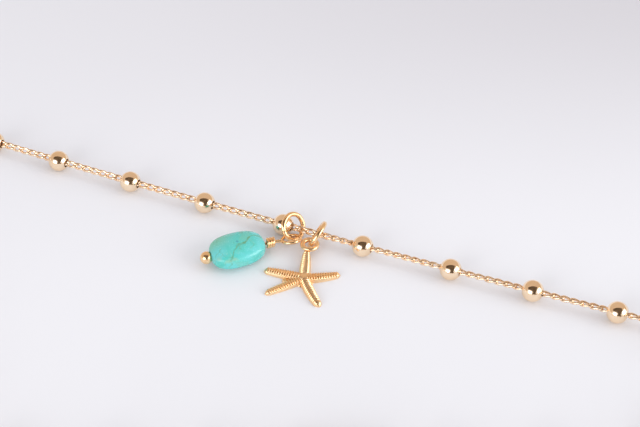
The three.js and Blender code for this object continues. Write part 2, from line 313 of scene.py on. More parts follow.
class Graph:
    """A material's node tree, with short ways to add and join its nodes."""

    def __init__(self, name: str) -> None:
        """Makes an empty material with a Principled surface.

        Args:
            name: The material's name.
        """
        self.material = bpy.data.materials.new(name)
        self.material.use_nodes = True
        self.tree = self.material.node_tree
        self.tree.nodes.clear()
        self.output = self.node("ShaderNodeOutputMaterial")
        self.surface = self.node("ShaderNodeBsdfPrincipled")
        self.feed(self.output.inputs["Surface"], self.surface.outputs["BSDF"])
        self.places = self.node("ShaderNodeTexCoord").outputs["Object"]

    def node(self, kind: str, **settings: object) -> bpy.types.Node:
        """Adds a node.

        Args:
            kind: Blender's name for its type.
            settings: Its own settings, by name.

        Returns:
            The new node.
        """
        made = self.tree.nodes.new(kind)
        for key, value in settings.items():
            setattr(made, key, value)
        return made

    def feed(self, socket: Socket, value: Socket | float | tuple[float, ...]) -> None:
        """Links an output to an input, or gives the input a plain value.

        Args:
            socket: The input.
            value: The output, number or numbers that it gets.
        """
        if isinstance(value, Socket):
            self.tree.links.new(value, socket)
        else:
            socket.default_value = value

    def dress(self, name: str, value: Socket | float | tuple[float, ...]) -> None:
        """Feeds the input of that name on the surface."""
        self.feed(self.surface.inputs[name], value)

    def noise(
        self, size: float, detail: float = 3.0, distortion: float = 0.0,
        places: Socket | None = None,
    ) -> Socket:
        """Adds cloudy noise.

        Args:
            size: The width of its patches in millimetres.
            detail: How many finer layers it has.
            distortion: How far its patches are pulled about.
            places: The coordinates that it reads, or none for the object's own.

        Returns:
            The noise as a number from 0 to 1.
        """
        made = self.node("ShaderNodeTexNoise")
        self.feed(made.inputs["Vector"], places or self.places)
        self.feed(made.inputs["Scale"], 1.0 / (size * MM))
        self.feed(made.inputs["Detail"], detail)
        self.feed(made.inputs["Distortion"], distortion)
        return made.outputs["Fac"]

    def remap(self, value: Socket, given: Span, wanted: Span = (0.0, 1.0)) -> Socket:
        """Stretches a number from one range to another, smoothly and within its bounds.

        Args:
            value: The number's socket.
            given: The two ends of the range that it has.
            wanted: The results at those two ends.

        Returns:
            The stretched number's socket.
        """
        made = self.node("ShaderNodeMapRange", interpolation_type="SMOOTHSTEP")
        self.feed(made.inputs["Value"], value)
        bounds = ("From Min", "From Max", "To Min", "To Max")
        for name, bound in zip(bounds, (*given, *wanted)):
            self.feed(made.inputs[name], bound)
        return made.outputs["Result"]

    def mottle(self, mottle: Mottle, wanted: Span = (0.0, 1.0)) -> Socket:
        """Adds cloudy noise and stretches the range of it that is kept.

        Args:
            mottle: The noise's sizes.
            wanted: The results at the two ends of the kept range.

        Returns:
            The stretched number's socket.
        """
        clouds = self.noise(mottle.size, mottle.detail, mottle.swirl)
        return self.remap(clouds, mottle.kept, wanted)

    def maths(self, operation: str, *values: Socket | float) -> Socket:
        """Adds one step of arithmetic.

        Args:
            operation: Blender's name for the operation.
            values: The sockets or numbers that it works on.

        Returns:
            The result's socket.
        """
        made = self.node("ShaderNodeMath", operation=operation)
        for socket, value in zip(made.inputs, values):
            self.feed(socket, value)
        return made.outputs["Value"]

    def blend(self, share: Socket, first: Socket | Colour, second: Socket | Colour) -> Socket:
        """Mixes two colours.

        Args:
            share: How much of the second colour there is.
            first: A colour or a colour's socket.
            second: A colour or a colour's socket.

        Returns:
            The mixed colour's socket.
        """
        made = self.node("ShaderNodeMix", data_type="RGBA")
        self.feed(made.inputs["Factor"], share)
        colour_sockets = [socket for socket in made.inputs if socket.type == "RGBA"]
        for socket, value in zip(colour_sockets, (first, second)):
            self.feed(socket, value if isinstance(value, Socket) else (*value, 1.0))
        return next(socket for socket in made.outputs if socket.type == "RGBA")

    def split(self, places: Socket) -> tuple[Socket, Socket, Socket]:
        """Takes coordinates apart.

        Args:
            places: The coordinates' socket.

        Returns:
            The sockets of the three coordinates.
        """
        parts = self.node("ShaderNodeSeparateXYZ")
        self.feed(parts.inputs["Vector"], places)
        return parts.outputs["X"], parts.outputs["Y"], parts.outputs["Z"]

    def bump(self, height: Socket, depth: float) -> None:
        """Gives the surface relief.

        Args:
            height: The relief, as a number from 0 to 1.
            depth: Its depth in millimetres.
        """
        made = self.node("ShaderNodeBump")
        self.feed(made.inputs["Distance"], depth * MM)
        self.feed(made.inputs["Height"], height)
        self.dress("Normal", made.outputs["Normal"])


@dataclass(frozen=True)
class GoldFinish:
    """Plated gold, with faint clouding, hairlines and painted shade that darkens its crevices."""

    name: str
    bright: Colour
    deep: Colour
    cloud_size: float
    roughness: Span
    grain_size: float
    grain_depth: float
    painted_crevice_shade: Colour
    painted_shade_range: Span
    cloud_range: Span = (0.32, 0.68)
    cloud_detail: float = 4.0
    cloud_swirl: float = 0.6
    hair_range: Span = (0.3, 0.7)
    hair_detail: float = 5.0
    hair_stretch: tuple[float, float, float] = (0.35, 1.0, 1.0)
    hair_turn: tuple[float, float, float] = (0.3, 0.2, 0.6)

    def build(self) -> bpy.types.Material:
        """Makes the material.

        Returns:
            The finish as a material.
        """
        graph = Graph(self.name)
        clouds = Mottle(self.cloud_size, self.cloud_detail, self.cloud_swirl, self.cloud_range)
        plated = graph.blend(graph.mottle(clouds), self.bright, self.deep)
        # Painted shade: hollow places, found by pointiness, are darkened towards the crevice shade
        # colour.
        shape = graph.node("ShaderNodeNewGeometry")
        unshaded_share = graph.remap(shape.outputs["Pointiness"], self.painted_shade_range)
        graph.dress("Base Color", graph.blend(unshaded_share, self.painted_crevice_shade, plated))
        graph.dress("Metallic", 1.0)
        hairs = graph.noise(self.grain_size, self.hair_detail, 0.0, self.stretched(graph))
        graph.dress("Roughness", graph.remap(hairs, self.hair_range, self.roughness))
        graph.bump(hairs, self.grain_depth)
        return graph.material

    def stretched(self, graph: Graph) -> Socket:
        """Draws the coordinates out along one way, for hairlines.

        Args:
            graph: The material's nodes.

        Returns:
            The coordinates' socket.
        """
        made = graph.node("ShaderNodeMapping")
        graph.feed(made.inputs["Vector"], graph.places)
        graph.feed(made.inputs["Scale"], self.hair_stretch)
        graph.feed(made.inputs["Rotation"], self.hair_turn)
        return made.outputs["Vector"]


@dataclass(frozen=True)
class StoneSpace:
    """The stone's own coordinates in its material, in millimetres from its middle.

    The swirl is a slow cloudy colour, which bends the cracks and specks out of true.
    """

    places: Socket
    along: Socket
    across: Socket
    up: Socket
    swirl: Socket


@dataclass(frozen=True)
class TurquoiseFinish:
    """Polished turquoise matrix: teal clouds, an olive vein, thin cracks and dark specks.

    A range named for a direction says where a stain is absent and where it is full, measured
    that way from the stone's middle.
    """

    name: str = "turquoise_matrix"
    teal: Colour = (0.09, 0.55, 0.48)
    aqua: Colour = (0.14, 0.60, 0.59)
    clouds: Mottle = Mottle(2.6, 4.0, 0.8, (0.38, 0.64))
    swirl_scale: float = 0.9

    green: Colour = (0.19, 0.50, 0.36)
    green_mottle: Mottle = Mottle(1.5, 5.0, 1.2, (0.50, 0.74))
    green_most: float = 0.6
    corner_along: Span = (0.2, -1.9)
    corner_across: Span = (-0.7, 0.9)
    corner_most: float = 0.8

    patch_colour: Colour = (0.30, 0.53, 0.38)
    patch_mottle: Mottle = Mottle(0.9, 4.0, 0.8, (0.4, 0.62))
    patch_most: float = 0.8
    patch_along: Span = (0.2, -1.2)
    patch_across: Span = (-0.9, -1.6)
    patch_up: Span = (0.2, 0.6)

    vein_colour: Colour = (0.12, 0.33, 0.18)
    vein_width: Span = (0.056, 0.16)
    vein_swelling: Mottle = Mottle(0.7, 2.0, 0.0, (0.35, 0.65))
    vein_edge: Span = (0.6, 1.6)
    vein_wander: float = 0.5
    vein_wander_size: float = 0.4
    vein_wander_detail: float = 4.0
    vein_strength: Span = (0.45, 0.95)
    vein_breaks: Mottle = Mottle(0.6, 2.0, 0.0, (0.36, 0.62))
    vein_up: Span = (0.3, 0.9)
    vein_reach: float = 4.0
    vein_path: tuple[Span, ...] = (
        (-3.0, -2.3), (-1.22, -1.95), (-0.67, -1.17), (-0.1, -0.71), (0.38, -0.54),
        (0.87, -0.38), (1.39, 0.27), (1.78, 0.47), (2.12, 0.52), (3.0, 0.1),
    )

    crack_scale: float = 0.42
    crack_bend: float = 1.6
    crack_edge: Span = (0.006, 0.022)
    crack_breaks: Mottle = Mottle(1.1, 2.0, 0.0, (0.46, 0.6))
    crack_most: float = 0.6

    speck_colour: Colour = (0.05, 0.26, 0.36)
    speck_bend: float = 0.25
    speck_height: float = 1.2
    speck_edge: Span = (0.08, 0.24)
    speck_most: float = 0.75
    specks: tuple[Span, ...] = ((-2.14, -0.2), (2.07, -0.77), (0.11, 0.03), (-0.2, -1.9))

    pit_size: float = 0.16
    pit_range: Span = (0.3, 0.75)
    roughness: Span = (0.17, 0.30)
    vein_sink: float = 1.5
    relief: float = 0.005
    specular: float = 0.6
    glow_share: float = 0.12
    glow_depth: tuple[float, float, float] = (0.15, 0.6, 0.6)

    def space(self, graph: Graph, place: Matrix) -> StoneSpace:
        """Lays coordinates along the stone's own axes.

        Args:
            graph: The material's nodes.
            place: Where the stone's middle and axes lie, in millimetres.

        Returns:
            The coordinates.
        """
        made = graph.node("ShaderNodeMapping", vector_type="TEXTURE")
        graph.feed(made.inputs["Vector"], graph.places)
        graph.feed(made.inputs["Location"], tuple(place.translation * MM))
        graph.feed(made.inputs["Rotation"], tuple(place.to_euler()))
        graph.feed(made.inputs["Scale"], (MM, MM, MM))
        places = made.outputs["Vector"]
        swirl = graph.node("ShaderNodeTexNoise")
        graph.feed(swirl.inputs["Vector"], places)
        graph.feed(swirl.inputs["Scale"], self.swirl_scale)
        return StoneSpace(places, *graph.split(places), swirl.outputs["Color"])

    def bent(self, graph: Graph, stone: StoneSpace, bend: tuple[float, float, float]) -> Socket:
        """Pulls the stone's coordinates about.

        Args:
            graph: The material's nodes.
            stone: The stone's coordinates.
            bend: How far they are pulled along each axis.

        Returns:
            The bent coordinates' socket.
        """
        made = graph.node("ShaderNodeVectorMath", operation="MULTIPLY_ADD")
        for socket, value in zip(made.inputs, (stone.swirl, bend, stone.places)):
            graph.feed(socket, value)
        return made.outputs["Vector"]

    def clouded(self, graph: Graph, stone: StoneSpace) -> Socket:
        """Mixes the teal body, its paler clouds and its greener parts.

        Args:
            graph: The material's nodes.
            stone: The stone's coordinates.

        Returns:
            The colour's socket.
        """
        body = graph.blend(graph.mottle(self.clouds), self.teal, self.aqua)
        mottle = graph.mottle(self.green_mottle, (0.0, self.green_most))
        left = graph.remap(stone.along, self.corner_along)
        corner = graph.maths("MULTIPLY", left, graph.remap(stone.across, self.corner_across))
        corner = graph.maths("MULTIPLY", corner, self.corner_most)
        return graph.blend(graph.maths("MAXIMUM", mottle, corner), body, self.green)

    def patched(self, graph: Graph, stone: StoneSpace, body: Socket) -> Socket:
        """Adds the pale patch on the near side.

        Args:
            graph: The material's nodes.
            stone: The stone's coordinates.
            body: The colour so far.

        Returns:
            The new colour's socket.
        """
        near = graph.remap(stone.across, self.patch_across)
        patch = graph.maths("MULTIPLY", near, graph.remap(stone.along, self.patch_along))
        mottle = graph.mottle(self.patch_mottle, (0.0, self.patch_most))
        patch = graph.maths("MULTIPLY", patch, mottle)
        patch = graph.maths("MULTIPLY", patch, graph.remap(stone.up, self.patch_up))
        return graph.blend(patch, body, self.patch_colour)

    def vein_course(self, graph: Graph, stone: StoneSpace, half: float) -> Socket:
        """Leads the vein's middle line along its path.

        Args:
            graph: The material's nodes.
            stone: The stone's coordinates.
            half: Half the stone's length.

        Returns:
            The line's place across the stone.
        """
        reach = self.vein_reach
        curve = graph.node("ShaderNodeFloatCurve")
        share = graph.maths("MULTIPLY_ADD", stone.along, 1 / (2 * half), 0.5)
        graph.feed(curve.inputs["Value"], share)
        points = curve.mapping.curves[0].points
        rows = [(x / (2 * half) + 0.5, y / (2 * reach) + 0.5) for x, y in self.vein_path]
        points[0].location = rows[0]
        points[1].location = rows[-1]
        for row in rows[1:-1]:
            points.new(*row)
        curve.mapping.update()
        course = graph.maths("MULTIPLY_ADD", curve.outputs["Value"], 2 * reach, -reach)
        sway = graph.noise(self.vein_wander_size, self.vein_wander_detail)
        sway = graph.maths("MULTIPLY_ADD", sway, self.vein_wander, -self.vein_wander / 2)
        return graph.maths("ADD", course, sway)

    def vein(self, graph: Graph, stone: StoneSpace, half: float) -> Socket:
        """Draws the main vein across the stone's face.

        Args:
            graph: The material's nodes.
            stone: The stone's coordinates.
            half: Half the stone's length.

        Returns:
            A number that is 1 in the vein and 0 beside it.
        """
        course = self.vein_course(graph, stone, half)
        away = graph.maths("ABSOLUTE", graph.maths("SUBTRACT", stone.across, course))
        thick = graph.mottle(self.vein_swelling, self.vein_width)
        line = graph.remap(graph.maths("DIVIDE", away, thick), self.vein_edge, (1.0, 0.0))
        return graph.maths("MULTIPLY", line, graph.remap(stone.up, self.vein_up))

    def cracked(self, graph: Graph, stone: StoneSpace, body: Socket) -> Socket:
        """Adds thin broken cracks.

        Args:
            graph: The material's nodes.
            stone: The stone's coordinates.
            body: The colour so far.

        Returns:
            The new colour's socket.
        """
        crack = graph.node("ShaderNodeTexVoronoi", feature="DISTANCE_TO_EDGE")
        bend = (self.crack_bend, self.crack_bend, self.crack_bend)
        graph.feed(crack.inputs["Vector"], self.bent(graph, stone, bend))
        graph.feed(crack.inputs["Scale"], self.crack_scale)
        thin = graph.remap(crack.outputs["Distance"], self.crack_edge, (1.0, 0.0))
        broken = graph.mottle(self.crack_breaks, (0.0, self.crack_most))
        return graph.blend(graph.maths("MULTIPLY", thin, broken), body, self.vein_colour)

    def specked(self, graph: Graph, stone: StoneSpace, body: Socket) -> Socket:
        """Adds the dark specks.

        Args:
            graph: The material's nodes.
            stone: The stone's coordinates.
            body: The colour so far.

        Returns:
            The new colour's socket.
        """
        bent = self.bent(graph, stone, (self.speck_bend, self.speck_bend, 0.0))
        for along, across in self.specks:
            spot = graph.node("ShaderNodeVectorMath", operation="DISTANCE")
            graph.feed(spot.inputs[0], bent)
            graph.feed(spot.inputs[1], (along, across, self.speck_height))
            dot = graph.remap(spot.outputs["Value"], self.speck_edge, (self.speck_most, 0.0))
            body = graph.blend(dot, body, self.speck_colour)
        return body

    def build(self, place: Matrix, half: float) -> bpy.types.Material:
        """Makes the material.

        Args:
            place: Where the stone's middle and axes lie, in millimetres.
            half: Half the stone's length.

        Returns:
            The finish as a material.
        """
        graph = Graph(self.name)
        stone = self.space(graph, place)
        body = self.patched(graph, stone, self.clouded(graph, stone))
        vein = self.vein(graph, stone, half)
        strength = graph.mottle(self.vein_breaks, self.vein_strength)
        body = graph.blend(graph.maths("MULTIPLY", vein, strength), body, self.vein_colour)
        body = self.cracked(graph, stone, body)
        graph.dress("Base Color", self.specked(graph, stone, body))
        pits = graph.noise(self.pit_size)
        graph.dress("Roughness", graph.remap(pits, self.pit_range, self.roughness))
        graph.dress("Specular IOR Level", self.specular)
        graph.dress("Subsurface Weight", self.glow_share)
        graph.dress("Subsurface Radius", tuple(depth * MM for depth in self.glow_depth))
        graph.dress("Subsurface Scale", 1.0)
        sunk = graph.maths("SUBTRACT", pits, graph.maths("MULTIPLY", vein, self.vein_sink))
        graph.bump(sunk, self.relief)
        return graph.material


@dataclass(frozen=True)
class PaperFinish:
    """The pale paper that the bracelet lies on, with painted shade that dims it towards the back and
    right.

    The fade runs from its start to its end, in metres from the middle.
    """

    name: str = "pale_paper"
    colour: Colour = (0.795, 0.795, 0.82)
    shade: Colour = (0.775, 0.775, 0.80)
    painted_far_shade: Colour = (0.61, 0.595, 0.62)
    mottle: Mottle = Mottle(60.0, 2.0, 0.0, (0.3, 0.7))
    fade_start: float = 0.002
    fade_end: float = 0.060
    left_share: float = 0.35
    roughness: float = 0.8
    specular: float = 0.2

    def build(self) -> bpy.types.Material:
        """Makes the material.

        Returns:
            The finish as a material.
        """
        graph = Graph(self.name)
        tone = graph.blend(graph.mottle(self.mottle), self.colour, self.shade)
        across, away, _ = graph.split(graph.places)
        # Painted shade: the colour darkens towards the back, more so on the right, as light falls off.
        back = graph.remap(away, (self.fade_start, self.fade_end))
        right = graph.remap(across, (-self.fade_end, self.fade_end), (self.left_share, 1.0))
        fade = graph.maths("MULTIPLY", back, right)
        graph.dress("Base Color", graph.blend(fade, tone, self.painted_far_shade))
        graph.dress("Roughness", self.roughness)
        graph.dress("Specular IOR Level", self.specular)
        return graph.material


@dataclass(frozen=True)
class ClothFinish:
    """Cloth that only shows as a mirror image in the polished gold, matt unless it glows as painted
    light.
    """

    name: str
    light: Colour
    dark: Colour
    mottle_size: float
    glows: bool
    roughness: float = 0.9

    def build(self) -> bpy.types.Material:
        """Makes the material.

        Returns:
            The finish as a material.
        """
        graph = Graph(self.name)
        tone = graph.blend(graph.noise(self.mottle_size), self.light, self.dark)
        # A glowing cloth is painted light: it emits its tone though it is no lamp.
        if self.glows:
            graph.dress("Base Color", (0.0, 0.0, 0.0, 1.0))
            graph.dress("Emission Color", tone)
            graph.dress("Emission Strength", 1.0)
            graph.dress("Specular IOR Level", 0.0)
        else:
            graph.dress("Base Color", tone)
            graph.dress("Roughness", self.roughness)
        return graph.material


# The crevice colour of each gold is painted shade for its hollows.
POLISHED_GOLD = GoldFinish(
    name="polished_gold", bright=(1.0, 0.80, 0.58), deep=(0.97, 0.75, 0.52), cloud_size=1.4,
    roughness=(0.06, 0.12), grain_size=0.12, grain_depth=0.0006,
    painted_crevice_shade=(0.62, 0.38, 0.18), painted_shade_range=(0.40, 0.47),
)
CHAIN_GOLD = GoldFinish(
    name="chain_gold", bright=(1.0, 0.82, 0.62), deep=(1.0, 0.73, 0.50), cloud_size=0.8,
    roughness=(0.16, 0.30), grain_size=0.08, grain_depth=0.0012,
    painted_crevice_shade=(0.55, 0.30, 0.13), painted_shade_range=(0.42, 0.50),
)
FITTING_GOLD = GoldFinish(
    name="fitting_gold", bright=(1.0, 0.73, 0.44), deep=(0.97, 0.64, 0.34), cloud_size=1.0,
    roughness=(0.16, 0.28), grain_size=0.10, grain_depth=0.0010,
    painted_crevice_shade=(0.55, 0.31, 0.13), painted_shade_range=(0.42, 0.49),
)
CAST_GOLD = GoldFinish(
    name="cast_gold", bright=(1.0, 0.74, 0.45), deep=(1.0, 0.67, 0.37), cloud_size=0.9,
    roughness=(0.28, 0.40), grain_size=0.09, grain_depth=0.0030,
    painted_crevice_shade=(0.30, 0.13, 0.05), painted_shade_range=(0.34, 0.475),
)
DARK_CLOTH = ClothFinish("dark_cloth", (0.085, 0.055, 0.030), (0.115, 0.078, 0.045), 30.0, False)
# Painted light: a tan glow that shows only as a reflection on the tops of the gold.
GLOWING_CLOTH = ClothFinish("glowing_cloth", (0.70, 0.55, 0.43), (0.658, 0.517, 0.4042), 200.0, True)


def place_piece(piece: bpy.types.Object, node: str, finish: bpy.types.Material) -> None:
    """Gives a piece its finish and puts it in the place of a node of the frame.

    Args:
        piece: The piece, in its place.
        node: The node that it stands for.
        finish: Its material.
    """
    piece.data.materials.clear()
    piece.data.materials.append(finish)
    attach(piece, BODY)
    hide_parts(node)
    log.info("%s stands for %s with %d faces", piece.name, node, len(piece.data.polygons))


@dataclass(frozen=True)
class Corner:
    """A corner of the chain's loop, rounded to a radius."""

    x: float
    y: float
    radius: float


@dataclass
class Route:
    """The closed loop that the chain lies in, level at one height, from the clasp and back."""

    clasp: Vector = field(default_factory=lambda: laid(0.0, -34.2, CHAIN_HEIGHT))
    step: float = 0.05
    fewest_arc_steps: int = 12
    closeness: float = 1e-9
    corners: tuple[Corner, ...] = (
        Corner(-34.5, -34.2, 7.0),
        Corner(-47.6, 15.542, 5.0),
        Corner(-3.942, -3.654, 1210.0),
        Corner(38.9, -19.492, 5.0),
        Corner(34.4, -34.2, 7.0),
    )
    points: list[Vector] = field(default_factory=list)
    length: float = 0.0

    def __post_init__(self) -> None:
        """Lays the loop out in even steps."""
        clasp = self.clasp.xy
        stops = [clasp, *(laid(corner.x, corner.y).xy for corner in self.corners), clasp]
        rough = [clasp]
        for before, corner, after in zip(stops, self.corners, stops[2:]):
            rough.extend(self.rounded(before, corner, after))
        rough.append(clasp)
        self.points = self.even(rough)
        self.length = (len(self.points) - 1) * self.step

    def rounded(self, before: Vector, corner: Corner, after: Vector) -> list[Vector]:
        """Rounds one corner off.

        Args:
            before: The corner before it, or the clasp.
            corner: The corner.
            after: The corner after it, or the clasp.

        Returns:
            Points along its arc.
        """
        here = laid(corner.x, corner.y).xy
        back = (before - here).normalized()
        ahead = (after - here).normalized()
        half = back.angle(ahead) / 2
        middle = here + (back + ahead).normalized() * (corner.radius / math.sin(half))
        cut = corner.radius / math.tan(half)
        first = here + back * cut - middle
        turn = first.angle_signed(here + ahead * cut - middle)
        steps = max(self.fewest_arc_steps, int(abs(turn) * corner.radius / self.step))
        return [middle + Matrix.Rotation(-turn * i / steps, 2) @ first for i in range(steps + 1)]

    def even(self, rough: list[Vector]) -> list[Vector]:
        """Spaces points evenly along a line of points, and evens the step out to its length.

        Args:
            rough: The line's points, unevenly spaced.

        Returns:
            Points at the chain's height, one step apart.
        """
        total = sum((b - a).length for a, b in zip(rough, rough[1:]))
        count = round(total / self.step)
        self.step = total / count
        spaced = []
        gone = 0.0
        for a, b in zip(rough, rough[1:]):
            run = (b - a).length
            reach = gone + run + self.closeness
            while run > 0 and len(spaced) * self.step <= reach and len(spaced) <= count:
                spot = a.lerp(b, (len(spaced) * self.step - gone) / run)
                spaced.append(Vector((spot.x, spot.y, self.clasp.z)))
            gone += run
        if len(spaced) <= count:
            spaced.append(Vector((rough[-1].x, rough[-1].y, self.clasp.z)))
        return spaced

    def at(self, distance: float) -> Vector:
        """Finds a point of the route.

        Args:
            distance: How far along the route it is from the clasp's middle.

        Returns:
            The point.
        """
        exact = min(max(distance / self.step, 0.0), len(self.points) - 1.0)
        index = min(int(exact), len(self.points) - 2)
        return self.points[index].lerp(self.points[index + 1], exact - index)

    def along(self, distance: float, reach: float) -> Vector:
        """Returns the unit direction of the route at a distance, over a reach either way."""
        return (self.at(distance + reach) - self.at(distance - reach)).normalized()

    def nearest(self, place: Vector) -> float:
        """Returns the distance along the route of the point nearest to a place."""
        index = min(range(len(self.points)), key=lambda i: (self.points[i] - place).length_squared)
        return index * self.step


@dataclass
class CurbChain:
    """A fine curb chain of twisted oval links, each hooked through the next.

    The chain's flat side leans towards the viewer left of the charms and lies down right of them.
    """

    route: Route
    charm_distance: float
    link_pitch: float = 1.01
    link_width: float = 0.80
    wire: float = 0.28
    hook: float = 1.04
    fullness: float = 0.85
    twist: float = -48.0
    link_steps: int = 22
    wire_sides: int = 9
    in_clasp: float = 2.5
    roll_left: float = 34.0
    roll_right: float = -5.0
    turn_start: float = 3.0
    turn_end: float = 7.5
    play: float = 5.0
    seed: int = 7

    def link(self) -> list[Vector]:
        """Bends one link, with its length along X, lying flat.

        Returns:
            The points along the middle of its wire.
        """
        half_length = (self.link_pitch + self.wire * self.hook) / 2
        half_width = (self.link_width - self.wire) / 2
        points = []
        for i in range(self.link_steps):
            angle = math.tau * i / self.link_steps
            x = signed_power(math.cos(angle), self.fullness) * half_length
            y = signed_power(math.sin(angle), self.fullness) * half_width
            turn = math.radians(self.twist) * x / half_length
            points.append(Vector((x, y * math.cos(turn), y * math.sin(turn))))
        return points

    def roll(self, distance: float) -> float:
        """Returns how far the chain's flat side leans towards the viewer, in degrees."""
        beyond = distance - self.charm_distance
        return mix(self.roll_left, self.roll_right, smoothstep(beyond, self.turn_start, self.turn_end))

    def build(self) -> bpy.types.Object:
        """Makes all the links.

        Returns:
            The whole chain as one object.
        """
        shell = Shell()
        draw = random.Random(self.seed)
        start = CLASP_LENGTH / 2 - self.in_clasp
        run = self.route.length - 2 * start
        count = round(run / self.link_pitch)
        link = self.link()
        for i in range(count):
            distance = start + run * (i + 0.5) / count
            along = self.route.along(distance, self.link_pitch / 2)
            side = UP.cross(along).normalized()
            lean = math.radians(self.roll(distance) + draw.uniform(-self.play, self.play))
            face = UP * math.cos(lean) - side * math.sin(lean)
            across = face.cross(along)
            spot = self.route.at(distance)
            path = [spot + along * p.x + across * p.y + face * p.z for p in link]
            shell.add_wire(path, lambda share: self.wire / 2, self.wire_sides, Ends.JOINED, spot)
        return shell.to_object("curb_chain")


@dataclass
class PolishedBall:
    """A polished ball, drilled through, with a rounded lip at each mouth of its bore.

    The lip's shape gives how far each of its corners stands out from the bore and above the
    mouth, as shares of the lip.
    """

    number: int
    centre: Vector
    axis: Vector
    diameter: float = BALL_DIAMETER
    bore: float = CHAIN_BORE
    lip: float = 0.07
    lip_shape: tuple[Span, ...] = ((0.55, 0.21), (0.15, 0.0), (0.0, -1.0))
    rows: int = 30
    sides: int = 56
    crease: float = 60.0

    def profile(self) -> list[Span]:
        """Draws the closed section: over the ball, round one lip, back through the bore.

        Returns:
            The radius and the place along the bore of each corner.
        """
        radius = self.diameter / 2
        bore = self.bore / 2
        rim = math.asin((bore + self.lip) / radius)
        mouth = radius * math.cos(rim)
        angles = [rim + (math.pi - 2 * rim) * row / self.rows for row in range(self.rows + 1)]
        outer = [(radius * math.sin(angle), -radius * math.cos(angle)) for angle in angles]
        top = [(bore + self.lip * out, mouth + self.lip * up) for out, up in self.lip_shape]
        middle = [(bore, mouth * 0.5), (bore, 0.0), (bore, -mouth * 0.5)]
        bottom = [(r, -along) for r, along in reversed(top)]
        return [*outer, *top, *middle, *bottom]

    def build(self) -> bpy.types.Object:
        """Turns the ball.

        Returns:
            The ball as an object.
        """
        shell = Shell()
        place = Matrix.Translation(self.centre) @ turn_to(self.axis)
        shell.add_lathe(self.profile(), self.sides, place)
        return shell.to_object(f"polished_ball_{self.number:02d}", self.crease)


@dataclass
class BallString:
    """The balls along the chain, each in the middle of its own node."""

    route: Route
    prefix: str = "ball_"

    def build(self) -> list[tuple[str, bpy.types.Object]]:
        """Makes the balls, in order along the chain.

        Returns:
            Each ball with the name of its node.
        """
        balls = []
        for node in sorted(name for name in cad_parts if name.startswith(self.prefix)):
            low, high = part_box(node)
            centre = (low + high) / 2 / MM
            axis = self.route.along(self.route.nearest(centre), BALL_DIAMETER / 2)
            ball = PolishedBall(int(node.removeprefix(self.prefix)), centre, axis)
            balls.append((node, ball.build()))
        return balls


@dataclass
class BarrelClasp:
    """A turned barrel clasp with domed shoulders and a fine groove where it unscrews.

    The groove's shape gives the depth of each of its corners and its place from the middle.
    """

    middle: Vector
    length: float = CLASP_LENGTH
    diameter: float = 2.3
    nose: float = 1.5
    taper: float = 1.4
    bore: float = CHAIN_BORE
    sides: int = 72
    shoulder_steps: int = 10
    groove_shape: tuple[Span, ...] = ((0.12, 0.0), (0.09, 0.072), (0.02, 0.12), (0.0, 0.17))
    band_places: tuple[float, ...] = (1.5, 1.78)
    band_depth: float = 0.05
    band_half: float = 0.07
    edge: float = 0.06
    edge_width: float = 0.05
    bore_row: float = 0.4
    crease: float = 50.0

    def profile(self) -> list[Span]:
        """Draws the closed section, from one nose to the other and back through the bore.

        Returns:
            The radius and the place along the clasp of each corner.
        """
        radius = self.diameter / 2
        half = self.length / 2
        bore = self.bore / 2
        right = [(radius - depth, along) for depth, along in self.groove_shape]
        for spot in self.band_places:
            right.append((radius, spot - self.band_half))
            right.append((radius - self.band_depth, spot))
            right.append((radius, spot + self.band_half))
        for i in range(self.shoulder_steps + 1):
            angle = math.pi / 2 * i / self.shoulder_steps
            drop = (1 - math.cos(angle)) * (radius - self.nose / 2)
            along = half - self.taper + math.sin(angle) * (self.taper - self.edge)
            right.append((radius - drop, along))
        right.append((self.nose / 2 - self.edge_width, half))
        right.append((bore + self.edge_width, half))
        right.append((bore, half - self.edge))
        left = [(r, -along) for r, along in reversed(right[1:])]
        return [*left, *right, (bore, half * self.bore_row), (bore, -half * self.bore_row)]

    def build(self) -> bpy.types.Object:
        """Turns the clasp, along the X axis.

        Returns:
            The clasp as an object.
        """
        shell = Shell()
        turn = Matrix.Rotation(math.pi / 2, 4, "Y")
        shell.add_lathe(self.profile(), self.sides, Matrix.Translation(self.middle) @ turn)
        return shell.to_object("barrel_clasp", self.crease)


@dataclass
class JumpRing:
    """A round ring of wire, with a hairline where its ends meet."""

    name: str
    centre: Vector
    normal: Vector
    radius: float = 1.38
    wire: float = 0.54
    steps: int = 96
    sides: int = 24
    joint_at: float = 0.62
    joint_depth: float = 0.12

    def wire_radius(self, share: float) -> float:
        """Returns the wire's radius, which dips at the joint."""
        away = abs(share - self.joint_at) * self.steps
        return self.wire / 2 * (1 - self.joint_depth * max(0.0, 1 - away))

    def build(self) -> bpy.types.Object:
        """Bends the ring.

        Returns:
            The ring as an object.
        """
        shell = Shell()
        place = Matrix.Translation(self.centre) @ turn_to(self.normal)
        flat = level_circle(Vector((0.0, 0.0, 0.0)), self.radius, self.steps)
        path = [place @ spot for spot in flat]
        shell.add_wire(path, self.wire_radius, self.sides, Ends.JOINED, self.centre)
        return shell.to_object(self.name)


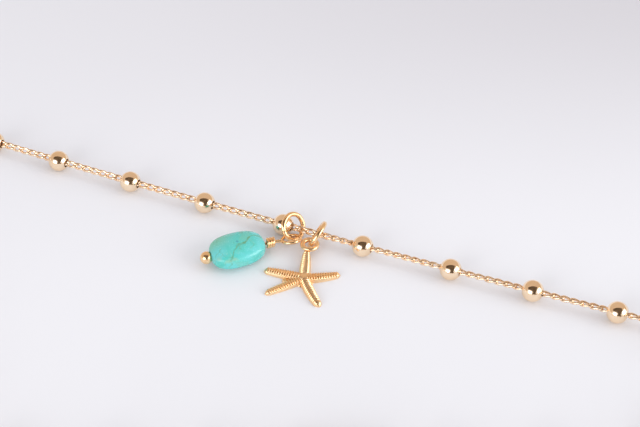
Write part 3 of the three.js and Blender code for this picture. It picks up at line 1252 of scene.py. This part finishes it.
@dataclass
class DrilledStone:
    """An oval tablet of turquoise, tumbled smooth, with a bore along its length."""

    middle: Vector
    heading: float
    length: float = 6.1
    width: float = 4.4
    thickness: float = 2.6
    outline_power: float = 2.5
    edge_power: float = 3.8
    dome: float = 0.32
    slant: float = 0.08
    rows: int = 64
    sides: int = 144
    unevenness: float = 0.03
    dent_scale: float = 0.55
    dent_shift: Vector = field(default_factory=lambda: Vector((3.1, 1.7, 0.4)))
    bore: float = 1.1
    bore_drop: float = 0.1
    bore_sides: int = 40
    bore_steps: int = 8
    crease: float = 40.0

    def place(self) -> Matrix:
        """Returns where the stone's middle and its own axes lie."""
        return Matrix.Translation(self.middle) @ Matrix.Rotation(math.radians(self.heading), 4, "Z")

    def point(self, row: int, side: int) -> Vector:
        """Finds one point of the tablet's surface, pressed in a little here and there.

        Args:
            row: The row, up from the bottom.
            side: The step round the outline.

        Returns:
            The point, in the stone's own axes.
        """
        rise = -math.pi / 2 + math.pi * row / self.rows
        angle = math.tau * side / self.sides
        fullness = superellipse_reach(rise, self.edge_power)
        out = math.cos(rise) * fullness
        reach = superellipse_reach(angle, self.outline_power) * out
        along = math.cos(angle) * reach * self.length / 2
        across = math.sin(angle) * reach
        lean = self.slant * along * max(0.0, -across)
        spot = Vector((
            along,
            across * self.width / 2 + lean,
            math.sin(rise) * fullness * (1 - self.dome * out ** 2) * self.thickness / 2,
        ))
        dent = (noise.noise(spot * self.dent_scale + self.dent_shift) + 1) / 2
        return spot * (1 - self.unevenness * dent * abs(out))

    def drill(self) -> bpy.types.Object:
        """Makes the rod that the bore is cut with.

        Returns:
            The rod as a closed solid.
        """
        shell = Shell()
        place = self.place()
        shares = (i / self.bore_steps for i in range(self.bore_steps + 1))
        path = [
            place @ Vector((mix(-self.length, self.length, share), 0.0, -self.bore_drop))
            for share in shares
        ]
        shell.add_wire(path, lambda share: self.bore / 2, self.bore_sides)
        return shell.to_object("stone_drill")

    def build(self) -> bpy.types.Object:
        """Shapes and drills the stone.

        Returns:
            The stone as an object.
        """
        place = self.place()
        shell = Shell()
        shell.add_rings([
            [place @ self.point(row, side) for side in range(self.sides)]
            for row in range(1, self.rows)
        ], Ends.CAPPED)
        stone = shell.to_object("turquoise_tablet")
        return combine(stone, [self.drill()], Merge.CUT, self.crease)


@dataclass
class Headpin:
    """A ball-ended pin through the stone, turned into a loop and wrapped round its own neck."""

    stone: DrilledStone
    loop_centre: Vector
    loop_normal: Vector
    loop_radius: float = 1.01
    loop_steps: int = 72
    wire: float = 0.34
    sides: int = 14
    ball: float = 1.36
    ball_sides: int = 40
    seat: float = 0.37
    stem_steps: int = 10
    bend_steps: int = 12
    bend_start: float = 0.4
    bend_end: float = 0.3
    turns: float = 2.5
    turn_steps: int = 24
    coil_pitch: float = 0.31
    coil_radius: float = 0.43
    coil_start: float = 0.03
    coil_phase: float = 2.2
    coil_shrink: float = 0.06
    pinch: float = 0.28
    pinch_end: float = 0.03

    def axis(self) -> Vector:
        """Returns the direction of the pin."""
        return heading_vector(self.stone.heading)

    def on_axis(self, along: float) -> Vector:
        """Returns the point on the stone's axis at a place along it."""
        return self.stone.middle - UP * self.stone.bore_drop + self.axis() * along

    def coil_foot(self) -> float:
        """Returns where the coil starts along the axis, just off the stone."""
        return self.stone.length / 2 + self.coil_start + self.wire / 2

    def loop(self, neck: Vector) -> list[Vector]:
        """Bends the loop, from the point nearest to the neck and round.

        Args:
            neck: Where the wire leaves the coil.

        Returns:
            Points along the middle of its wire.
        """
        normal = self.loop_normal.normalized()
        foot = neck - self.loop_centre
        foot = (foot - normal * foot.dot(normal)).normalized()
        ahead = normal.cross(foot)
        angles = (math.tau * i / self.loop_steps for i in range(self.loop_steps))
        return [
            self.loop_centre + (foot * math.cos(angle) + ahead * math.sin(angle)) * self.loop_radius
            for angle in angles
        ]

    def stem(self, neck: Vector, foot: Vector) -> list[Vector]:
        """Leads the pin's wire from its ball through the stone and up to the loop.

        Args:
            neck: Where the wire leaves the coil.
            foot: Where the wire meets the loop.

        Returns:
            Points along the middle of the wire.
        """
        half = self.stone.length / 2
        straight = [
            self.on_axis(mix(-half - self.seat, half, i / self.stem_steps))
            for i in range(self.stem_steps + 1)
        ]
        first = neck + self.axis() * (foot - neck).length * self.bend_start
        second = foot.lerp(neck, self.bend_end)
        bend = []
        for i in range(self.bend_steps + 1):
            share = i / self.bend_steps
            rest = 1 - share
            bend.append(
                neck * rest ** 3 + first * 3 * rest ** 2 * share
                + second * 3 * rest * share ** 2 + foot * share ** 3)
        return [*straight, *bend]

    def coil(self) -> list[Vector]:
        """Winds the wire round the neck.

        Returns:
            Points along the middle of the wire.
        """
        side = UP.cross(self.axis()).normalized()
        steps = int(self.turns * self.turn_steps)
        points = []
        for i in range(steps + 1):
            turn = i / self.turn_steps
            angle = math.tau * turn + self.coil_phase
            radius = self.coil_radius * (1.0 - self.coil_shrink * i / steps)
            out = (side * math.cos(angle) - UP * math.sin(angle)) * radius
            points.append(self.on_axis(self.coil_foot() + self.coil_pitch * turn) + out)
        return points

    def coil_taper(self, share: float) -> float:
        """Returns the coil wire's radius, pinched where it was cut off."""
        return self.wire / 2 * (1 - self.pinch + self.pinch * smoothstep(share, 0.0, self.pinch_end))

    def build(self) -> bpy.types.Object:
        """Makes the pin with its ball, loop, stem and coil.

        Returns:
            The headpin as an object.
        """
        shell = Shell()
        end = self.on_axis(-self.stone.length / 2 - self.seat)
        neck = self.on_axis(self.coil_foot() + self.turns * self.coil_pitch)
        loop = self.loop(neck)
        shell.add_ball(self.ball / 2, end, self.axis(), self.ball_sides)
        shell.add_wire(loop, lambda share: self.wire / 2, self.sides, Ends.JOINED, self.loop_centre)
        shell.add_wire(self.stem(neck, loop[0]), lambda share: self.wire / 2, self.sides)
        shell.add_wire(self.coil(), self.coil_taper, self.sides)
        return shell.to_object("wrapped_headpin")


@dataclass(frozen=True)
class Arm:
    """One arm of the starfish.

    The bend is how far its tip stands aside, width and height are those at the middle of the
    starfish and at the tip, and pits is how deep the pits between its ribs are.
    """

    heading: float
    length: float
    bend: float
    width: Span
    height: Span
    pits: float


@dataclass
class CastStarfish:
    """A cast starfish with a ribbed band along each arm and a ring at the end of one.

    A range named fade says where along an arm, as a share of its length, the ribs come in or go
    out, or where the tip is rounded off.
    """

    centre: Vector
    ring_centre: Vector
    arms: tuple[Arm, ...] = (
        Arm(159.0, 4.45, -0.2, (1.1, 0.78), (0.78, 0.5), 0.05),
        Arm(207.0, 4.55, -0.05, (0.95, 0.7), (0.66, 0.45), 0.16),
        Arm(287.0, 4.25, -0.4, (1.08, 0.85), (0.76, 0.52), 0.0),
        Arm(7.5, 3.9, -0.2, (1.08, 0.72), (0.78, 0.5), 0.24),
        Arm(85.5, 3.75, 0.0, (1.16, 0.85), (0.78, 1.15), 0.0),
    )
    web: Arm = Arm(183.0, 2.3, 0.0, (1.7, 0.4), (0.5, 0.3), 0.0)
    bulge: float = 0.13
    taper_power: float = 1.6
    crown_power: int = 3
    tip_fade: Span = (0.84, 1.01)
    tip_power: float = 2.4
    back_share: float = 0.6
    back_edge: float = 0.01
    row_pitch: float = 0.025
    side_steps: int = 44

    rib_pitch: float = 0.27
    rib_depth: float = 0.12
    rib_level: float = 0.75
    rib_fade_in: Span = (0.04, 0.12)
    rib_fade_out: Span = (0.84, 0.94)
    band: Span = (0.74, 0.94)
    pit_place: float = 0.5
    pit_spread: float = 0.16

    hub_radius: float = 1.08
    hub_height: float = 0.66
    hub_rim: float = 1.02
    hub_power: float = 0.8
    hub_rows: int = 15
    hub_sides: int = 60

    ring_radius: float = 0.78
    ring_wire: float = 0.5
    ring_steps: int = 72
    ring_sides: int = 22
    crease: float = 60.0

    def relief(self, arm: Arm, across: float, share: float) -> float:
        """Works out how far the ribs stand up and the pits between them go down.

        Args:
            arm: The arm's sizes.
            across: The place across the arm, as a share of its half width.
            share: The place along it, as a share of its length.

        Returns:
            The height that is added to the plain arm.
        """
        out = abs(across)
        wave = 0.5 + 0.5 * math.cos(math.tau * share * arm.length / self.rib_pitch)
        fade = (1 - smoothstep(share, *self.rib_fade_out)) * smoothstep(share, *self.rib_fade_in)
        ribs = (wave - self.rib_level) * self.rib_depth * (1 - smoothstep(out, *self.band))
        row = math.exp(-((out - self.pit_place) / self.pit_spread) ** 2)
        pits = arm.pits * (1 - wave) ** 2 * row
        return (ribs - pits) * fade

    def section(self, arm: Arm, share: float) -> list[Span]:
        """Draws an arm's section, over its crown and back along its flat underside.

        Args:
            arm: The arm's sizes.
            share: The place along it, as a share of its length.

        Returns:
            The place across the arm and the height of each corner.
        """
        ease = math.sqrt(max(0.0, 1 - smoothstep(share, *self.tip_fade) ** self.tip_power))
        swell = 1 + self.bulge * math.sin(math.pi * share)
        half = mix(*arm.width, share ** self.taper_power) / 2 * swell * ease
        top = mix(*arm.height, share) * ease
        corners = []
        for i in range(self.side_steps + 1):
            across = -math.cos(math.pi * i / self.side_steps)
            plain = math.sqrt(max(0.0, 1 - abs(across) ** self.crown_power)) * top
            up = plain + self.relief(arm, across, share)
            low = 0.0 if i in (0, self.side_steps) else self.back_edge
            corners.append((across * half, max(up, low)))
        back = [(half * side, 0.0) for side in (self.back_share, 0.0, -self.back_share)]
        return [*corners, *back]

    def arm_shell(self, arm: Arm, name: str) -> bpy.types.Object:
        """Makes one arm as a closed solid.

        Args:
            arm: The arm's sizes.
            name: The solid's name.

        Returns:
            The solid as an object.
        """
        turn = Matrix.Translation(self.centre) @ Matrix.Rotation(math.radians(arm.heading - 90), 4, "Z")
        rows = int(arm.length / self.row_pitch)
        rings = []
        for share in (row / rows for row in range(rows + 1)):
            aside = arm.bend * share ** 2
            rings.append([
                turn @ Vector((x + aside, arm.length * share, z)) for x, z in self.section(arm, share)])
        shell = Shell()
        shell.add_rings(rings, Ends.CAPPED)
        return shell.to_object(name)

    def hub(self) -> bpy.types.Object:
        """Makes the low dome in the middle.

        Returns:
            The dome as a closed solid.
        """
        rings = []
        for row in range(self.hub_rows):
            rise = math.sin(math.pi / 2 * row / self.hub_rows)
            level = self.centre + UP * (self.hub_height * rise)
            radius = self.hub_radius * (self.hub_rim - rise) ** self.hub_power
            rings.append(level_circle(level, radius, self.hub_sides))
        shell = Shell()
        shell.add_rings(rings, Ends.CAPPED)
        return shell.to_object("starfish_hub")

    def ring(self) -> bpy.types.Object:
        """Makes the cast ring.

        Returns:
            The ring as a closed solid.
        """
        shell = Shell()
        path = level_circle(self.ring_centre, self.ring_radius, self.ring_steps)
        radius = self.ring_wire / 2
        shell.add_wire(path, lambda share: radius, self.ring_sides, Ends.JOINED, self.ring_centre)
        return shell.to_object("starfish_ring")

    def build(self) -> bpy.types.Object:
        """Fuses the arms, the hub and the ring.

        Returns:
            The starfish as one object.
        """
        solids = [
            self.arm_shell(arm, f"starfish_arm_{i}") for i, arm in enumerate((*self.arms, self.web))]
        fused = combine(solids[0], [*solids[1:], self.hub(), self.ring()], Merge.FUSED, self.crease)
        fused.name = "cast_starfish"
        return fused


@dataclass(frozen=True)
class Softbox:
    """A rectangular studio light that faces the bracelet."""

    name: str
    direction: tuple[float, float, float]
    distance: float
    size: Span
    power: float
    shows_in_gloss: bool = True

    def build(self, target: Vector) -> None:
        """Hangs the light.

        Args:
            target: The point that it faces.
        """
        lamp = bpy.data.lights.new(self.name, "AREA")
        lamp.shape = "RECTANGLE"
        lamp.size, lamp.size_y = self.size
        lamp.energy = self.power
        light = bpy.data.objects.new(self.name, lamp)
        away = Vector(self.direction).normalized()
        light.location = target + away * self.distance
        light.rotation_mode = "QUATERNION"
        light.rotation_quaternion = away.to_track_quat("Z", "Y")
        light.visible_camera = False
        light.visible_glossy = self.shows_in_gloss
        bpy.context.scene.collection.objects.link(light)


def hang_in_gloss(name: str, points: list[Vector], faces: list[tuple[int, ...]],
                  finish: ClothFinish) -> None:
    """Hangs a cloth that shows in the gloss of the pieces alone.

    Args:
        name: The cloth's name.
        points: Its corners.
        faces: Its faces.
        finish: Its finish.
    """
    mesh = bpy.data.meshes.new(name)
    mesh.from_pydata(points, [], faces)
    mesh.materials.append(finish.build())
    cloth = bpy.data.objects.new(name, mesh)
    cloth.visible_camera = False
    cloth.visible_diffuse = False
    cloth.visible_shadow = False
    bpy.context.scene.collection.objects.link(cloth)


@dataclass
class Studio:
    """The paper, the cloths, the lights, the room and the camera.

    The camera's distance and aim are millimetres. The card's outline is given by the spots of a
    polished ball that mirror it, across and up from the ball's middle as shares of its radius.
    """

    image_width: float = 640.0
    sensor: float = 36.0
    focal_pixels: float = 1576.4
    elevation: float = 42.0
    camera_distance: float = 173.07
    aim: Vector = field(default_factory=lambda: laid(0.0, 0.0))
    clip: Span = (0.01, 20.0)
    floor_half: float = 2.5

    room_colour: Colour = (0.98, 0.97, 1.0)
    room_level: float = 0.80
    horizon_level: float = 1.04
    horizon_height: float = 0.5

    card_distance: float = 0.9
    card_outline: tuple[Span, ...] = (
        (-0.44, 0.33), (0.36, 0.33), (0.28, 0.0), (0.20, -0.18), (0.32, -0.30),
        (-0.12, -0.30), (-0.02, -0.12), (-0.12, 0.05), (-0.45, 0.14),
    )

    drape_distance: float = 1.8
    drape_rows: int = 12
    drape_columns: int = 24
    drape_lift: Span = (6.0, 88.0)
    drape_headings: Span = (-15.0, 195.0)

    light_target: Vector = field(default_factory=lambda: Vector((0.0, 0.008, 0.0)))
    softboxes: tuple[Softbox, ...] = (
        Softbox("right_softbox", (0.90, -0.31, 0.34), 1.1, (0.9, 0.6), 6.2),
        Softbox("left_softbox", (-0.568, -0.74, 0.36), 1.1, (0.7, 0.5), 4.0),
        Softbox("high_key", (0.62, 0.12, 0.78), 1.3, (0.9, 0.9), 1.5, shows_in_gloss=False),
    )

    def toward_camera(self) -> Vector:
        """Returns the unit direction from the bracelet to the camera."""
        lift = math.radians(self.elevation)
        return Vector((0.0, -math.cos(lift), math.sin(lift)))

    def build_camera(self) -> None:
        """Sets the camera at the photograph's angle."""
        data = bpy.data.cameras.new("camera")
        data.sensor_width = self.sensor
        data.lens = self.focal_pixels * self.sensor / self.image_width
        data.clip_start, data.clip_end = self.clip
        camera = bpy.data.objects.new("camera", data)
        camera.location = (self.aim + self.toward_camera() * self.camera_distance) * MM
        camera.rotation_mode = "QUATERNION"
        camera.rotation_quaternion = self.toward_camera().to_track_quat("Z", "Y")
        bpy.context.scene.collection.objects.link(camera)
        bpy.context.scene.camera = camera

    def build_floor(self) -> None:
        """Lays the paper under the bracelet."""
        half = self.floor_half
        mesh = bpy.data.meshes.new("paper")
        corners = [(-half, -half, 0.0), (half, -half, 0.0), (half, half, 0.0), (-half, half, 0.0)]
        mesh.from_pydata(corners, [], [(0, 1, 2, 3)])
        mesh.materials.append(PaperFinish().build())
        paper = bpy.data.objects.new("paper", mesh)
        bpy.context.scene.collection.objects.link(paper)

    def glint_direction(self, across: float, up: float) -> Vector:
        """Finds what a polished ball mirrors at a spot of its face.

        Args:
            across: The spot's place to the right of the ball's middle, as a share of its radius.
            up: The spot's place above the ball's middle, as a share of its radius.

        Returns:
            The unit direction of what shows there.
        """
        away = self.toward_camera()
        level = Vector((1.0, 0.0, 0.0))
        rise = away.cross(level)
        offset = math.hypot(across, up)
        turn = 2 * math.asin(offset)
        return away * math.cos(turn) + (level * across + rise * up) * (math.sin(turn) / offset)

    def build_dark_card(self) -> None:
        """Stands a dark card round the camera, for the dark glint in the polished balls."""
        rim = [self.glint_direction(*spot) * self.card_distance for spot in self.card_outline]
        hang_in_gloss("dark_card", rim, [tuple(range(len(rim)))], DARK_CLOTH)

    def build_drape(self) -> None:
        """Hangs a glowing drape behind the bracelet and over it, painted light for the tan tops of the
        balls.
        """
        columns = self.drape_columns
        stride = columns + 1
        points = []
        for row in range(self.drape_rows + 1):
            lift = math.radians(mix(*self.drape_lift, row / self.drape_rows))
            for i in range(stride):
                level = heading_vector(mix(*self.drape_headings, i / columns))
                points.append((level * math.cos(lift) + UP * math.sin(lift)) * self.drape_distance)
        faces = []
        for row in range(self.drape_rows):
            for corner in range(row * stride, row * stride + columns):
                faces.append((corner, corner + 1, corner + stride + 1, corner + stride))
        hang_in_gloss("glowing_drape", points, faces, GLOWING_CLOTH)

    def build_room(self) -> None:
        """Lights the room evenly, a little brighter towards the horizon."""
        world = bpy.data.worlds.new("studio_room")
        bpy.context.scene.world = world
        world.use_nodes = True
        tree = world.node_tree
        tree.nodes.clear()
        output = tree.nodes.new("ShaderNodeOutputWorld")
        glow = tree.nodes.new("ShaderNodeBackground")
        places = tree.nodes.new("ShaderNodeTexCoord")
        parts = tree.nodes.new("ShaderNodeSeparateXYZ")
        level = tree.nodes.new("ShaderNodeMapRange")
        tree.links.new(places.outputs["Generated"], parts.inputs["Vector"])
        tree.links.new(parts.outputs["Z"], level.inputs["Value"])
        level.inputs["From Min"].default_value = 0.0
        level.inputs["From Max"].default_value = self.horizon_height
        level.inputs["To Min"].default_value = self.horizon_level
        level.inputs["To Max"].default_value = self.room_level
        glow.inputs["Color"].default_value = (*self.room_colour, 1.0)
        tree.links.new(level.outputs["Result"], glow.inputs["Strength"])
        tree.links.new(glow.outputs["Background"], output.inputs["Surface"])

    def build(self) -> None:
        """Sets up everything that the bracelet is photographed in."""
        self.build_camera()
        self.build_floor()
        self.build_dark_card()
        self.build_drape()
        self.build_room()
        for box in self.softboxes:
            box.build(self.light_target)
        bpy.context.scene.view_settings.view_transform = "Standard"
        bpy.context.scene.view_settings.look = "None"
        log.info("the studio has %d softboxes", len(self.softboxes))


@dataclass
class CharmGroup:
    """The stone on its headpin, the starfish and the two rings that join them to the chain."""

    chain_spot: Vector = field(default_factory=lambda: laid(-3.99, -3.05, CHAIN_HEIGHT))
    stone: DrilledStone = field(default_factory=lambda: DrilledStone(laid(-8.74, -7.17, 1.3), 19.3))
    pin_loop: Vector = field(default_factory=lambda: laid(-3.075, -5.339, 1.12))
    pin_loop_normal: Vector = field(default_factory=lambda: Vector((-0.118, 0.334, 0.935)))
    stone_ring: Vector = field(default_factory=lambda: laid(-2.862, -3.819, 1.5))
    stone_ring_normal: Vector = field(default_factory=lambda: Vector((0.664, -0.552, 0.504)))
    starfish_ring: Vector = field(default_factory=lambda: laid(-0.289, -5.017, 1.51))
    starfish_ring_normal: Vector = field(default_factory=lambda: Vector((0.83, -0.325, -0.453)))
    starfish: Vector = field(default_factory=lambda: laid(-1.7, -10.5))
    cast_ring: Vector = field(default_factory=lambda: laid(-1.09, -6.027, 0.982))

    def build(self, gold: bpy.types.Material) -> None:
        """Makes the charms, in order from the stone to the starfish.

        Args:
            gold: The finish of the wires and rings.
        """
        turquoise = TurquoiseFinish().build(self.stone.place(), self.stone.length / 2)
        place_piece(self.stone.build(), "stone", turquoise)
        pin = Headpin(self.stone, self.pin_loop, self.pin_loop_normal)
        place_piece(pin.build(), "headpin", gold)
        ring = JumpRing("stone_ring_wire", self.stone_ring, self.stone_ring_normal)
        place_piece(ring.build(), "stone_jump_ring", gold)
        ring = JumpRing("starfish_ring_wire", self.starfish_ring, self.starfish_ring_normal)
        place_piece(ring.build(), "starfish_jump_ring", gold)
        starfish = CastStarfish(self.starfish, self.cast_ring)
        place_piece(starfish.build(), "starfish", CAST_GOLD.build())


def main() -> None:
    """Builds the bracelet piece by piece and the studio round it."""
    logging.basicConfig(level=logging.INFO, format="%(name)s: %(message)s")
    route = Route()
    charms = CharmGroup()
    chain = CurbChain(route, route.nearest(charms.chain_spot))
    place_piece(chain.build(), "chain", CHAIN_GOLD.build())
    polished = POLISHED_GOLD.build()
    for node, ball in BallString(route).build():
        place_piece(ball, node, polished)
    fitting_gold = FITTING_GOLD.build()
    place_piece(BarrelClasp(route.clasp).build(), "clasp", fitting_gold)
    charms.build(fitting_gold)
    Studio().build()


if __name__ == "__main__":
    main()
